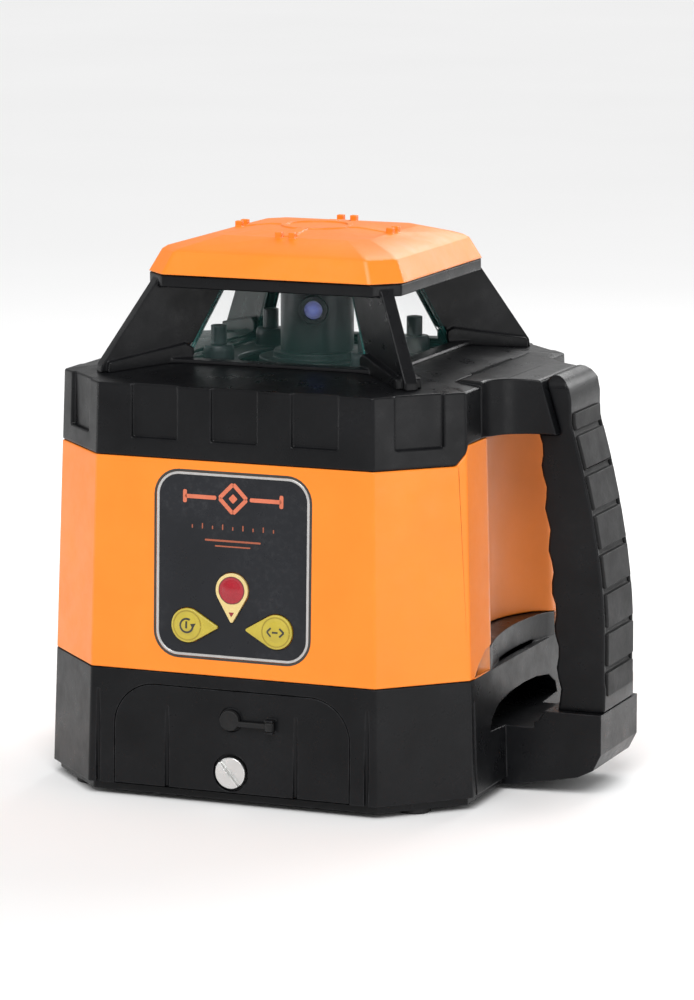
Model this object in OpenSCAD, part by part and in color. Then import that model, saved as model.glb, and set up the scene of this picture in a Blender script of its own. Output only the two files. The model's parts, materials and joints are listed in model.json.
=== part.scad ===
// Rotating laser level: an octagonal instrument case with a glazed lantern on
// top and a carrying handle on the right. Millimetres, +Z up, front towards -Y.
// The origin is on the rotor's axis, at the face that sits on a tripod head.

/* [Case] */
// Width across the flats where the housing meets the top cover
body_w = 161; // [150:1:170]
// Leg of each 45 degree corner cut, at the same height
corner_cut = 26; // [22:1:30]
// Outward slope of the case sides, in degrees
draft = 1.8; // [0:0.1:3]
// Wall thickness of the moulded shells
wall = 3; // [2.5:0.1:3.5]

/* [Heights] */
// Underside of the moulded base
base_z = 2; // [1:0.5:3]
// Joint between base and housing
housing_z = 48; // [46:1:50]
// Joint between housing and top cover
cover_z = 127; // [125:1:130]
// Upper edge of the top cover's side band
band_z = 153.5; // [152:0.5:156]
// Upper edge of the base collar under the handle
collar_z = 58; // [55:1:62]
// Underside of the arm that carries the handle
arm_z = 134; // [132:1:136]

/* [Lantern] */
// Half the width of the cap
cap_half = 50.8; // [48:0.2:53]
// Underside of the cap
cap_z = 190.2; // [189:0.2:193]
// Radius of the foot of a lantern blade, along the diagonal
blade_foot_r = 87.2; // [84:0.2:90]
// Thickness of a lantern blade
blade_t = 5; // [4:0.5:6]

/* [Handle] */
// Width of the handle bar
handle_w = 34; // [30:1:38]
// Width of the arm and foot that carry it
arm_w = 42; // [38:1:46]
// Furthest reach of the handle from the rotor's axis
handle_x = 121; // [118:1:126]

/* [Control panel] */
// Width of the panel
panel_w = 60.5; // [56:0.5:64]
// Height of the panel
panel_h = 68; // [64:1:70]
// Travel of a key
key_travel = 0.6; // [0.4:0.1:0.8]

/* [Battery] */
// Half the width of the battery door
door_half = 46.5; // [45:0.5:48]
// Top of the battery door
door_top = 43; // [41:1:44]
// Radius of a size C cell
cell_r = 13.1; // [13:0.05:13.2]
// Length of a size C cell
cell_l = 50; // [49:0.5:50]

/* [Laser head] */
// Height of both gimbal axes
pivot_z = 112; // [110:1:114]
// Height of the beam window on the rotor
beam_z = 174.5; // [172:0.5:176]
// Radius of the rotor head
rotor_r = 13.8; // [12:0.2:14.5]
// Radius at which the belt runs on the rotor's pulley
rotor_pulley_r = 11.5; // [11:0.5:13]
// Radius at which the belt runs on the motor's pulley
motor_pulley_r = 4.6; // [4:0.1:5]
// Distance from the rotor's axis to the motor's
motor_x = 34; // [33:1:36]

/* [Hidden] */

$fn = 64;
big = 400;
gap = 0.3;
slope = tan(draft);
sides = [0, 90, 180, 270];

// Half width of the case across the flats at height z
function half_at(z) = body_w / 2 + (cover_z - z) * slope;
// Leg of the corner cut at height z
function cut_at(z) = corner_cut * half_at(z) / (body_w / 2);

deck_half = 48;
deck_z = 157;
pane_foot = 41.2;
pane_top = 29.2;
pane_t = 2.4;
ring_z = 185.4;
pane_lean = (pane_foot - pane_top) / (ring_z - deck_z + 1.5);
floor_z = base_z + wall;
scoop_r = 49;
scoop_depth = 13;
door_z = 5.4;
lock_z = 12.8;
socket_z = 32.5;
tether_x = 16;
cell_x = 28.5;
cell_z = 21;
chassis_z = 96;
chassis_t = 4;
ring_r = 42;
pin_r = 2;
run = 0.05;
arm_x_reach = 51;
arm_y_reach = 56;
post_at = 56;
screw_at = 64.5;
key_pos = [[0, 80.3], [-17.5, 66.2], [17.5, 66.2]];
key_turn = [0, 90, -90];
panel_mid = 88.8;
belt_z = 125;
rotor_turn = 16;
black = [0.09, 0.09, 0.1];
orange = [0.98, 0.5, 0.16];
metal = [0.72, 0.73, 0.75];
dark = [0.16, 0.17, 0.19];

// ---------- shared shapes ----------

module octagon(h, c, r = 0) {
    points = [
        [h, -h + c], [h, h - c], [h - c, h], [-h + c, h],
        [-h, h - c], [-h, -h + c], [-h + c, -h], [h - c, -h]
    ];
    if (r > 0)
        offset(r = r, $fn = 24) offset(delta = -r) polygon(points);
    else
        polygon(points);
}

// The case's outer form between two heights, drawn in by inset all round
module case_block(z0, z1, inset = 0, r = 0) {
    h0 = half_at(z0) - inset;
    h1 = half_at(z1) - inset;
    translate([0, 0, z0])
        linear_extrude(z1 - z0, scale = h1 / h0)
            octagon(h0, cut_at(z0) - inset * 0.586, r);
}

// A block standing between two x and two y values
module box(x, y, z) {
    translate([x[0], y[0], z[0]])
        cube([x[1] - x[0], y[1] - y[0], z[1] - z[0]]);
}

// A prism along Y with its outline in X and Z
module prism_y(w, points) {
    translate([0, w / 2, 0]) rotate([90, 0, 0]) linear_extrude(w) polygon(points);
}

// A prism along X with its outline in Y and Z
module prism_x(x0, x1, points) {
    translate([x0, 0, 0]) rotate([90, 0, 90]) linear_extrude(x1 - x0) polygon(points);
}

module rod_x(x0, x1, y, z, r) {
    translate([x0, y, z]) rotate([0, 90, 0]) cylinder(r = r, h = x1 - x0);
}

module rod_y(y0, y1, x, z, r) {
    translate([x, y0, z]) rotate([-90, 0, 0]) cylinder(r = r, h = y1 - y0);
}

module rod(z0, z1, r) {
    translate([0, 0, z0]) cylinder(r = r, h = z1 - z0);
}

module tube(z0, z1, r_out, r_in) {
    difference() {
        rod(z0, z1, r_out);
        rod(z0 - 1, z1 + 1, r_in);
    }
}

module at_corners(d, e = 0) {
    for (sx = [-1, 1], sy = [-1, 1])
        translate([sx * d, sy * (e > 0 ? e : d), 0]) children();
}

// Puts its children on the sloping front face: X right, Y up the face, Z outwards
module on_front(z) {
    translate([0, -half_at(z), z]) rotate([90 - draft, 0, 0]) children();
}

module rounded_rect(w, h, r) {
    translate([-w / 2 + r, -h / 2]) square([w - 2 * r, h]);
    translate([-w / 2, -h / 2 + r]) square([w, h - 2 * r]);
    for (sx = [-1, 1], sy = [-1, 1])
        translate([sx * (w / 2 - r), sy * (h / 2 - r)]) circle(r = r);
}

// ---------- case ----------

// The finger scoop behind the handle, as a plan outline to intersect with
module scooped_plan(h, c) {
    intersection() {
        octagon(h, c, 2);
        offset(r = 6, $fn = 32) offset(delta = -6)
            difference() {
                translate([-big / 2, -big / 2]) square([big / 2 + h, big]);
                translate([h - scoop_depth + scoop_r, 0]) circle(r = scoop_r, $fn = 120);
            }
    }
}

// Arched collar of the base that closes the foot of the scoop
module collar(grow = 0) {
    g = grow;
    low = housing_z - 3;
    top = collar_z + g;
    intersection() {
        prism_x(55, 95, [
            [-53 - g, low], [-52 - g, housing_z + g], [-48 - g, housing_z + 4 + g],
            [-40, top - 1.5], [-26, top - 0.3], [0, top], [26, top - 0.3],
            [40, top - 1.5], [48 + g, housing_z + 4 + g], [52 + g, housing_z + g], [53 + g, low]
        ]);
        case_block(low - 1, top + 1);
    }
}

// Where the top cover steps up over the scoop, as a block across the right side
module arm_notch(grow = 0) {
    g = grow;
    prism_x(55, 95, [
        [-58 - g, cover_z - 1], [-57 - g, cover_z], [-52 - g, arm_z + g],
        [52 + g, arm_z + g], [57 + g, cover_z], [58 + g, cover_z - 1]
    ]);
}

module door_outline(w, top, low, r) {
    translate([-w, low]) square([2 * w, top - low - r]);
    translate([-w + r, low]) square([2 * (w - r), top - low]);
    for (s = [-1, 1])
        translate([s * (w - r), top - r]) circle(r = r);
}

module front_cut(y0, y1) {
    translate([0, y1, 0]) rotate([90, 0, 0]) linear_extrude(y1 - y0) children();
}

module foot_block() {
    prism_y(arm_w, [
        [62, base_z], [86, base_z], [96, base_z + 2], [112, base_z + 5],
        [118, base_z + 8], [handle_x, base_z + 14], [handle_x, 31],
        [99, 31], [96.5, 27], [84, 24.5], [62, 24.5]
    ]);
}

// The part of the base moulding that holds the handle: collar, pocket and foot
module foot_zone() {
    box([64, 140], [-42, 42], [-1, 80]);
    box([54, 140], [-42, 42], [44, 80]);
}

module base_cover() color(black) {
    difference() {
        base_body();
        foot_zone();
    }
}

module handle_foot() color(black) {
    intersection() {
        base_body();
        foot_zone();
    }
}

module base_body() {
    difference() {
        union() {
            case_block(base_z + 3, housing_z - 0.15, 0, 2);
            case_block(base_z, base_z + 3.001, 2.5, 2);
            foot_block();
            difference() {
                collar();
                // its face is dished by 4 mm behind the handle
                translate([0, 0, 44]) linear_extrude(20) polygon(concat(
                    [for (i = [0:20]) [half_at(50) + 0.5 - 4.5 * (1 - pow(i / 10 - 1, 2)), 3.7 * i - 37]],
                    [[100, 37], [100, -37]]
                ));
            }
            rod(0, base_z + 1, 26);
        }
        // the tub's hollow, leaving the battery door frame and the handle pocket's wall
        difference() {
            union() {
                case_block(floor_z, housing_z + 1, wall);
                intersection() {
                    collar(-2.5);
                    box([62, 73], [-60, 60], [40, 70]);
                }
            }
            box([-51, 51], [-90, -75], [0, 47]);
            box([64, 90], [-42, 42], [0, 41]);
            rod(0, 22, 14);
            at_corners(screw_at) rod(0, 60, 4.6);
            at_corners(post_at - 2) rod(0, 12, 5);
            box([-8, 8], [-70, -60], [0, 20]);
            box([-42, 42], [39, 43.5], [0, 9]);
        }
        // battery door pocket and the way in behind it
        front_cut(-95, -78.6) door_outline(door_half + 0.35, door_top + 0.35, door_z - 0.35, 16.35);
        front_cut(-80, -70) door_outline(43, 40, 6.6, 13);
        // pocket under the collar's lip, open towards the hand gap
        prism_x(68, 95, [
            [-37, 25.5], [-35, 30], [-28, 34], [-14, 36], [0, 36.5],
            [14, 36], [28, 34], [35, 30], [37, 25.5], [arm_w / 2, 24.5], [-arm_w / 2, 24.5]
        ]);
        rod(-1, 19, 11);
        at_corners(screw_at) {
            rod(-1, base_z + 1.2, 6);
            rod(-1, 7, 4);
            rod(6, 60, 2.2);
        }
        rod_y(-71, -59, 0, lock_z, 5);
        for (s = [-1, 1])
            translate([110, s * 9, 0]) rod(-1, 18, 3.6);
        for (s = [-1, 1])
            translate([110, s * 9, 0]) rod(17, 40, 1.7);
        // witness lines up each corner of the base
        for (a = sides) rotate([0, 0, a])
            for (s = [-1, 1])
                translate([half_at(20), s * (half_at(20) - cut_at(20) - 3.5), base_z + 2])
                    cylinder(r = 0.9, h = 36);
    }
}

module rubber_feet() color([0.05, 0.05, 0.05]) {
    at_corners(screw_at) rod(0, base_z + 1.2, 6);
}

module tripod_insert() color([0.78, 0.62, 0.3]) {
    tube(0, 16, 11, 6.9);
    rod(16, 19, 11);
}

module side_insert() color([0.78, 0.62, 0.3]) {
    difference() {
        rod_x(-half_at(76) + 0.4, -66, 0, 76, 11);
        rod_x(-half_at(76) - 1, -69, 0, 76, 6.9);
    }
}

// The housing's form with its scoop, drawn in by inset all round
module housing_block(inset = 0) {
    translate([0, 0, housing_z + 0.15])
        linear_extrude(arm_z - housing_z, scale = half_at(arm_z) / half_at(housing_z))
            offset(delta = -inset) scooped_plan(half_at(housing_z), cut_at(housing_z));
}

module main_housing() color(orange) {
    difference() {
        union() {
            intersection() {
                difference() {
                    housing_block();
                    housing_block(wall);
                }
                union() {
                    box([-big, big], [-big, big], [0, cover_z - 0.15]);
                    arm_notch();
                }
            }
            // corner bosses for the case screws
            intersection() {
                at_corners(screw_at) rod(housing_z + 0.15, cover_z - 0.15, 4.6);
                case_block(housing_z, cover_z, 1);
            }
            // posts for the main board and the thread block on the left
            for (sx = [-1, 1], z = [61, 91])
                rod_y(71.8, 80, sx * 35, z, 3);
            rod_x(-81, -66, 0, 76, 14);
        }
        collar(0.25);
        // recess for the control panel, with bores for the three keys
        on_front(panel_mid) translate([0, 0, -1.5]) linear_extrude(5) rounded_rect(panel_w, panel_h, 9);
        on_front(panel_mid) for (p = key_pos)
            translate([p[0], p[1] - panel_mid, -6]) cylinder(r = 3.5, h = 8);
        at_corners(screw_at) rod(housing_z - 1, cover_z + 1, 2.2);
        rod_x(-90, -60, 0, 76, 11);
    }
}

module case_gaskets() color([0.03, 0.03, 0.03]) {
    difference() {
        case_block(housing_z - 0.15, housing_z + 0.15, 0.8);
        case_block(housing_z - 1, housing_z + 1, wall - 0.2);
        collar(0.6);
        at_corners(screw_at) rod(0, 100, 5);
    }
    difference() {
        case_block(cover_z - 0.15, cover_z + 0.15, 0.8);
        case_block(cover_z - 1, cover_z + 1, wall - 0.2);
        translate([0, 0, 0]) arm_notch(0.6);
        at_corners(screw_at) rod(0, 200, 5);
    }
    difference() {
        translate([0, 0, cap_z - 0.3]) linear_extrude(0.3) octagon(cap_half - 1.5, 8);
        translate([0, 0, cap_z - 1]) linear_extrude(2) octagon(cap_half - 5, 8);
    }
}

module case_screws() color(metal) {
    at_corners(screw_at) {
        rod(3.4, 6.9, 3.7);
        rod(6.8, 132, 1.9);
    }
}

// ---------- top cover ----------

module deck_solid() {
    case_block(cover_z + 0.15, band_z, 0, 2);
    translate([0, 0, band_z])
        linear_extrude(deck_z - band_z, scale = deck_half / half_at(band_z))
            octagon(half_at(band_z), cut_at(band_z), 2);
}

// Recessed panels of the side band: three on a flat side, one on a corner
module band_panels() {
    for (a = sides) rotate([0, 0, a]) {
        if (a != 90)
            for (x = [-31.5, 0, 31.5])
                translate([x, -half_at(140), 0]) box([-9, 9], [-3, 1.6], [cover_z + 7, band_z + 3]);
        rotate([0, 0, 45])
            translate([0, -(2 * half_at(140) - cut_at(140)) / sqrt(2), 0])
                box([-9.5, 9.5], [-3, 1.6], [cover_z + 7, band_z + 3]);
    }
}

module arm_block() {
    intersection() {
        prism_y(120, [
            [60, arm_z + 0.3], [102.6, arm_z + 0.3], [96.9, 153.2], [96, 154.3], [84, 155.2], [73, 155.6], [60, 153.6]
        ]);
        union() {
            box([60, 110], [-arm_w / 2, arm_w / 2], [130, 160]);
            // coves that sweep the arm into the side of the band
            for (s = [-1, 1])
                difference() {
                    box([70, 98], s > 0 ? [arm_w / 2 - 1, arm_w / 2 + 17.7] : [-arm_w / 2 - 17.7, 1 - arm_w / 2], [130, 160]);
                    translate([98, s * (arm_w / 2 + 17.7), 129]) cylinder(r = 17.7, h = 40);
                }
        }
    }
}

module top_cover() color(black) {
    difference() {
        union() {
            difference() {
                deck_solid();
                arm_notch(gap);
                band_panels();
            }
            arm_block();
        }
        difference() {
            union() {
                difference() {
                    case_block(cover_z - 1, band_z - wall, wall + 1.2);
                    box([60, 100], [-60, 60], [cover_z - 2, arm_z + 3.3]);
                }
                difference() {
                    case_block(cover_z - 1, cover_z + 6, wall);
                    box([60, 100], [-60, 60], [cover_z - 2, arm_z + 3.3]);
                }
                box([50, 64], [-60, 60], [cover_z - 1, band_z - wall]);
            }
            at_corners(screw_at) rod(100, 160, 4.6);
        }
        // the well inside the lantern, and the way through for the laser head
        translate([0, 0, 153]) linear_extrude(10) octagon(pane_foot - pane_t - 0.4, 4);
        translate([0, 0, deck_z - 1.6]) linear_extrude(10) octagon(pane_foot + 0.3, 0.5);
        rod(140, 160, 32);
        at_corners(29.5, 25) rod(140, 160, 1.5);
        at_corners(screw_at) rod(cover_z - 1, 133, 2);
        for (s = [-1, 1])
            translate([0, s * 9, 0]) rod_x(88, 110, 0, 142, 1.7);
    }
}

module turret_floor() color(dark) {
    difference() {
        union() {
            translate([0, 0, 153]) linear_extrude(2) octagon(38, 4);
            at_corners(29.5, 25) rod(153, 159, 5.8);
            at_corners(29.5, 25) translate([0, 0, 159])
                intersection() {
                    sphere(r = 5.8);
                    rod(0, 2.5, 6);
                }
        }
        rod(150, 170, 30);
        at_corners(29.5, 25) rod(150, 170, 1.6);
    }
}

module turret_screws() color([0.05, 0.05, 0.06]) {
    at_corners(29.5, 25) {
        difference() {
            rod(161.5, 168.8, 3);
            translate([0, 0, 166.4]) cylinder(r = 1.6, h = 4, $fn = 6);
        }
        rod(152, 161.6, 1.45);
    }
}

// ---------- lantern ----------

module at_blades() {
    for (a = sides) rotate([0, 0, a + 45]) children();
}

// One radial blade, with its outline along X and up Z
module blade(t) {
    prism_y(t, [
        [blade_foot_r + 0.8, deck_z - 5], [blade_foot_r, deck_z], [64.2, cap_z - 1],
        [34.8, cap_z - 1], [53.2, deck_z], [53.2, deck_z - 5]
    ]);
}

// The thicker foot of a blade, which the blade grows out of
module blade_foot() {
    prism_y(blade_t + 5, [
        [blade_foot_r - 1.5, deck_z - 5], [blade_foot_r - 2.2, deck_z + 1.2], [54.5, 163.6],
        [51.5, 162], [51.5, deck_z - 5]
    ]);
}

// One slanting pane on the front side, before the blades are taken out of it
module pane_slab() {
    intersection() {
        prism_x(-60, 60, [
            [-pane_foot, deck_z - 1.5], [-pane_foot + pane_t, deck_z - 1.5],
            [-pane_top + pane_t, ring_z], [-pane_top, ring_z]
        ]);
        linear_extrude(300) polygon([[0, 0], [70, -70], [-70, -70]]);
    }
}

module lantern_frame() color(black) {
    difference() {
        union() {
            at_blades() blade(blade_t);
            at_blades() blade_foot();
            translate([0, 0, deck_z - 3]) linear_extrude(4.4, scale = 0.97) octagon(deck_half, 6);
            translate([0, 0, ring_z]) linear_extrude(cap_z - 0.3 - ring_z) octagon(cap_half - 0.6, 8.5);
        }
        deck_solid();
        pane_hollow();
        translate([0, 0, ring_z - 1]) linear_extrude(10) octagon(25, 5);
    }
}

// The space inside the panes' outer faces, as far up as the sill reaches
module pane_hollow() {
    low = pane_foot + 1.5 * pane_lean + 0.1;
    high = pane_foot - 8 * pane_lean + 0.1;
    translate([0, 0, deck_z - 3]) linear_extrude(9.5, scale = high / low) octagon(low, 0.5);
}

module window_panes() color([0.55, 0.78, 0.7, 0.35]) {
    difference() {
        for (a = sides) rotate([0, 0, a]) pane_slab();
        at_blades() blade(blade_t);
        at_blades() difference() {
            blade_foot();
            rotate([0, 0, -45]) pane_hollow();
        }
    }
}

module cap_layer(z0, z1, h0, h1, c, r = 1.5) {
    translate([0, 0, z0]) linear_extrude(z1 - z0, scale = h1 / h0) octagon(h0, c, r);
}

module cap() color(orange) {
    difference() {
        union() {
            cap_layer(cap_z, cap_z + 8, cap_half, 46.9, 9.5, 3);
            cap_layer(cap_z + 7.97, cap_z + 9.2, 46.88, 45.2, 8.76, 2.76);
            cap_layer(cap_z + 9.19, cap_z + 13.2, 45.18, 31, 8.44, 2.66);
            cap_layer(cap_z + 12.9, cap_z + 14.5, 31, 18, 5.9);
            for (a = sides) rotate([0, 0, a]) {
                // a sighting notch: two small posts over the middle of each side
                for (s = [-1, 1])
                    translate([s * 2.7, -30.5, 0]) box([-1.2, 1.2], [-1.3, 1.3], [cap_z + 10, cap_z + 15.2]);
                prism_x(-2.2, 2.2, [
                    [-28.6, cap_z + 11], [-28.6, cap_z + 13.6], [-18, cap_z + 14.9], [-12, cap_z + 14.9], [-12, cap_z + 11]
                ]);
            }
            tube(cap_z + 11, cap_z + 15, 13.5, 11.5);
        }
        cap_layer(cap_z - 0.01, cap_z + 6.9, cap_half - 5, 42, 7);
        cap_layer(cap_z + 6.8, cap_z + 10.6, 42, 27, 7);
    }
}

// ---------- handle ----------

// Outer face of the handle bar at height z
function grip_out(z) = max(106.8, handle_x - 0.4 - 12.6 * pow(max(0, z - 58) / 76, 1.75));
// Inner face of the handle bar at height z, with shallow finger waves
function grip_in(z) = 103.4 - 8.6 * pow((z - 31) / 103, 1.25) - 0.7 * cos((z - 31) * 24);
grip_rows = [for (i = [0:26]) 31 + i * 103 / 26];
pad_low = 37;
pad_high = 141.5;
pad_rows = [for (i = [0:26]) pad_low + i * (pad_high - pad_low) / 26];

module handle_core() color(black) {
    difference() {
        prism_y(handle_w, concat(
            [for (z = grip_rows) [grip_in(z), z]],
            [[102.9, arm_z + 0.3], [97.2, 153.4], [98.1, 155.1], [99.6, 155.7], [101.6, 155.4]],
            [[104, 154], [105.9, 151], [106.8, 146.5]],
            [for (i = [0:25]) [grip_out(142 - i * 4), 142 - i * 4]],
            [[handle_x, 40], [handle_x, 31.02]]
        ));
        grip_seat();
        for (s = [-1, 1]) {
            // the shoulder falls away to both sides
            prism_x(90, 115, [[s * 13, 157.5], [s * 18, 157.5], [s * 18, 150.5]]);
            translate([0, s * 9, 0]) rod_x(90, 101.6, 0, 142, 1.7);
            translate([110, s * 9, 0]) rod(30, 44, 1.5);
        }
    }
}

// The shallow seat that the soft pad fills
module grip_seat() {
    prism_y(handle_w - 5, concat(
        [for (z = pad_rows) [grip_out(z) - 3, z]],
        [[150, pad_high], [150, pad_low]]
    ));
}

module grip_pad() color([0.16, 0.16, 0.17]) {
    difference() {
        prism_y(handle_w - 5, concat(
            [for (z = pad_rows) [grip_out(z) - 3, z]],
            [for (i = [26:-1:0]) [grip_out(pad_rows[i]) + 0.9, pad_rows[i]]]
        ));
        // grooves across the pad
        for (i = [0:6])
            let (z = 47 + i * 14.6)
                translate([grip_out(z) + 1.1, 0, z]) rotate([0, -grip_tilt(z), 0])
                    box([-1.9, 3], [-20, 20], [-1.2, 1.2]);
    }
}

// Lean of the outer face at height z
function grip_tilt(z) = atan((grip_out(z - 1) - grip_out(z + 1)) / 2);

module handle_screws() color(metal) {
    for (s = [-1, 1]) {
        translate([110, s * 9, 0]) {
            rod(13.5, 16.9, 3.4);
            rod(16.8, 43, 1.45);
        }
        translate([0, s * 9, 0]) rod_x(89, 101.3, 0, 142, 1.5);
    }
}

// ---------- control panel ----------

module teardrop(r, reach) {
    hull() {
        circle(r = r, $fn = 48);
        translate([0, -reach]) circle(r = 0.6, $fn = 12);
    }
}

module at_key(i) {
    on_front(panel_mid) translate([key_pos[i][0], key_pos[i][1] - panel_mid, 0])
        rotate([0, 0, key_turn[i]]) children();
}

module panel_rim() color([0.8, 0.81, 0.83]) {
    on_front(panel_mid) translate([0, 0, -1.5]) linear_extrude(1.6)
        difference() {
            rounded_rect(panel_w - 0.3, panel_h - 0.3, 8.8);
            rounded_rect(panel_w - 2.3, panel_h - 2.3, 7.8);
        }
}

module panel_plate() color([0.07, 0.08, 0.09]) {
    difference() {
        on_front(panel_mid) translate([0, 0, -1.5]) linear_extrude(1.3)
            rounded_rect(panel_w - 2.3, panel_h - 2.3, 7.8);
        for (i = [0:2])
            at_key(i) translate([0, 0, -3]) linear_extrude(6) teardrop(6.6, 11.6);
    }
}

module key(i) {
    at_key(i) {
        translate([0, 0, -1.5 + key_travel + 0.15]) linear_extrude(1.35) teardrop(6.3, 11.3);
        translate([0, 0, 0.2]) scale([1, 1, 1]) intersection() {
            translate([0, 0, -9.4]) sphere(r = 10.6, $fn = 96);
            cylinder(r = 4.6, h = 3);
        }
        translate([0, 0, -5.2]) cylinder(r = 3, h = 4.6);
    }
}

module power_key() color([0.75, 0.05, 0.12]) key(0);

module left_key() color([0.86, 0.8, 0.25]) key(1);

module right_key() color([0.86, 0.8, 0.25]) key(2);

// ---------- electronics ----------

module keypad_board() color([0.1, 0.35, 0.2]) {
    on_front(panel_mid) {
        translate([-27, -31, -8]) cube([54, 52, 1.6]);
        for (p = key_pos)
            translate([p[0], p[1] - panel_mid, -6.5]) cylinder(r = 3.4, h = 0.6);
        translate([-22, 14.5, -10.2]) cube([18, 6, 2.3]);
        for (sx = [-1, 1], sy = [-1, 1])
            translate([sx * 24, sy * 24 - 4, -6.5]) cylinder(r = 2.5, h = 3.4);
    }
}

module main_board() color([0.1, 0.35, 0.2]) {
    box([-40, 40], [70.2, 71.8], [56, 96]);
    box([-30, -16], [67.8, 70.3], [64, 78]);
    box([14, 24], [68.2, 70.3], [62, 72]);
    box([-34, -16], [66.6, 70.3], [84, 90]);
    for (x = [18, 26])
        rod_y(64, 70.3, x, 86, 3.2);
}

// Flat lead from the keypad to the main board, round the left wall
module ribbon_cable() color([0.75, 0.75, 0.72]) {
    route = [[-14, -70.6], [-44, -70.6], [-74.6, -44], [-74.6, -18], [-74.6, 42], [-44, 65], [-34.3, 65]];
    translate([0, 0, 103.5]) linear_extrude(5)
        for (i = [0:5])
            let (a = route[i], b = route[i + 1], d = b - a)
                translate(a) rotate(atan2(d[1], d[0])) translate([0, -0.3]) square([norm(d), 0.6]);
    box([-40, -34], [64.7, 65.3], [84.5, 108.5]);
    box([-40, -34], [64.7, 66.6], [84.5, 89.5]);
}

// ---------- chassis ----------

module chassis_posts() color(metal) {
    at_corners(post_at - 2) rod(12, chassis_z, 4);
}

module chassis_plate() color([0.62, 0.64, 0.66]) {
    difference() {
        union() {
            translate([0, 0, chassis_z]) linear_extrude(chassis_t) octagon(61.5, 8);
            box([-67, -50], [-12, 12], [chassis_z, chassis_z + chassis_t]);
            for (s = [-1, 1])
                translate([s * 46, 0, 0]) {
                    box([-2.5, 2.5], [-6, 6], [chassis_z, pivot_z - 1]);
                    rod_x(-2.5, 2.5, 0, pivot_z, 4);
                    box([-2.5, 2.5], [-4, 4], [pivot_z - 5, pivot_z]);
                }
        }
        rod(chassis_z - 1, chassis_z + 10, 34);
        rod_x(-60, 60, 0, pivot_z, pin_r);
        translate([0, arm_x_reach, 0]) rod(90, 110, 2.4);
        translate([-arm_y_reach, 0, 0]) rod(90, 110, 2.4);
        at_corners(post_at - 2) rod(90, 110, 1.8);
    }
}

module chassis_screws() color(metal) {
    at_corners(post_at - 2) {
        rod(chassis_z + chassis_t, chassis_z + chassis_t + 2.5, 3.4);
        rod(chassis_z, chassis_z + chassis_t + 0.1, 1.7);
    }
}

module outer_pivots() color(metal) {
    for (s = [-1, 1])
        translate([s * 42.75, 0, 0]) rod_x(-5.75, 5.75, 0, pivot_z, pin_r);
}

module levelling_motor() {
    difference() {
        union() {
            rod(76, chassis_z, 7.5);
            rod(74, 76.1, 3.5);
        }
        rod(73, 110, pin_r + run);
    }
}

module levelling_motors() color([0.35, 0.36, 0.38]) {
    translate([0, arm_x_reach, 0]) levelling_motor();
    translate([-arm_y_reach, 0, 0]) levelling_motor();
}

// Sliding plunger with a fork that holds a ball at the origin of the fork
module plunger() {
    difference() {
        union() {
            rod(80, pivot_z - 4.5, pin_r);
            box([-4.5, 4.5], [-4.5, 7.5], [pivot_z - 5.5, pivot_z - 3.6]);
            box([-4.5, 4.5], [4.2, 7.5], [pivot_z - 5.5, pivot_z + 5.5]);
            box([-4.5, 4.5], [-4.5, 7.5], [pivot_z + 3.6, pivot_z + 5.5]);
        }
        box([-2.9, 2.9], [-6, 3.4], [pivot_z + 3, pivot_z + 6]);
    }
}

module plunger_x() color(metal) {
    translate([0, arm_x_reach, 0]) plunger();
}

module plunger_y() color(metal) {
    translate([-arm_y_reach, 0, 0]) rotate([0, 0, 90]) plunger();
}

// ---------- battery ----------

module lock_receiver() color([0.78, 0.62, 0.3]) {
    difference() {
        rod_y(-70, -60, 0, lock_z, 5);
        rod_y(-71, -59, 0, lock_z, 3);
    }
}

module battery_terminals() color([0.8, 0.7, 0.45]) {
    box([-38, 38], [39.5, 42.5], [9.01, 30]);
    for (s = [-1, 1])
        translate([s * cell_x, 0, 0]) box([-4, 4], [37.6, 39.6], [16, 25]);
}

module battery_door() color([0.08, 0.08, 0.09]) {
    difference() {
        intersection() {
            case_block(2, 46);
            front_cut(-95, -79.6) door_outline(door_half, door_top, door_z, 16);
        }
        translate([0, -half_at(lock_z), 0]) rod_y(-3, 1.5, 0, lock_z, 7);
        rod_y(-90, -81.6, 0, lock_z, 6.1);
        rod_y(-90, -70, 0, lock_z, 3.3);
        rod_y(-90, -70, 0, socket_z, 4.5);
        // two shallow flutes down the door
        for (s = [-1, 1])
            translate([s * 25.5, -half_at(20) - 0.2, door_z - 1]) cylinder(r = 0.9, h = 31);
    }
    // knuckle that holds the pin of the plug's tether
    for (z = [29.1, 33.4])
        box([tether_x - 1.6, tether_x + 1.6], [-86.8, -83.3], [z, z + 0.7]);
    translate([tether_x, -85.5, 0]) rod(29.2, 34, 0.9);
}

module door_seal() color([0.04, 0.04, 0.04]) {
    difference() {
        front_cut(-79.6, -78.6) door_outline(door_half - 0.5, door_top - 0.5, door_z + 0.2, 15.5);
        front_cut(-80, -78) door_outline(43.1, 40.1, 6.5, 13.1);
    }
}

module battery_tray() color([0.14, 0.14, 0.15]) {
    difference() {
        union() {
            for (s = [-1, 1])
                translate([s * cell_x, 0, 0]) {
                    box([-13.9, 13.9], [-75.1, 36.6], [7, 7.8]);
                    box([-13.9, -13.2], [-75.1, 36.6], [7, 24]);
                    box([13.2, 13.9], [-75.1, 36.6], [7, 24]);
                    box([-13.9, 13.9], [35.2, 36.6], [7, 24]);
                }
            box([-42.4, 42.4], [-79.6, -74], [7, 26]);
        }
        rod_y(-90, -70, 0, lock_z, 3.3);
        for (s = [-1, 1])
            translate([s * cell_x, 0, 0]) box([-5, 5], [35, 37], [15, 30]);
    }
}

module battery_cells() color([0.2, 0.3, 0.55]) {
    for (s = [-1, 1], y = [-70, -19])
        translate([s * cell_x, 0, 0]) {
            rod_y(y, y + cell_l - 1.6, 0, cell_z, cell_r - 0.01);
            rod_y(y + cell_l - 1.7, y + cell_l, 0, cell_z, 3);
        }
}

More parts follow.
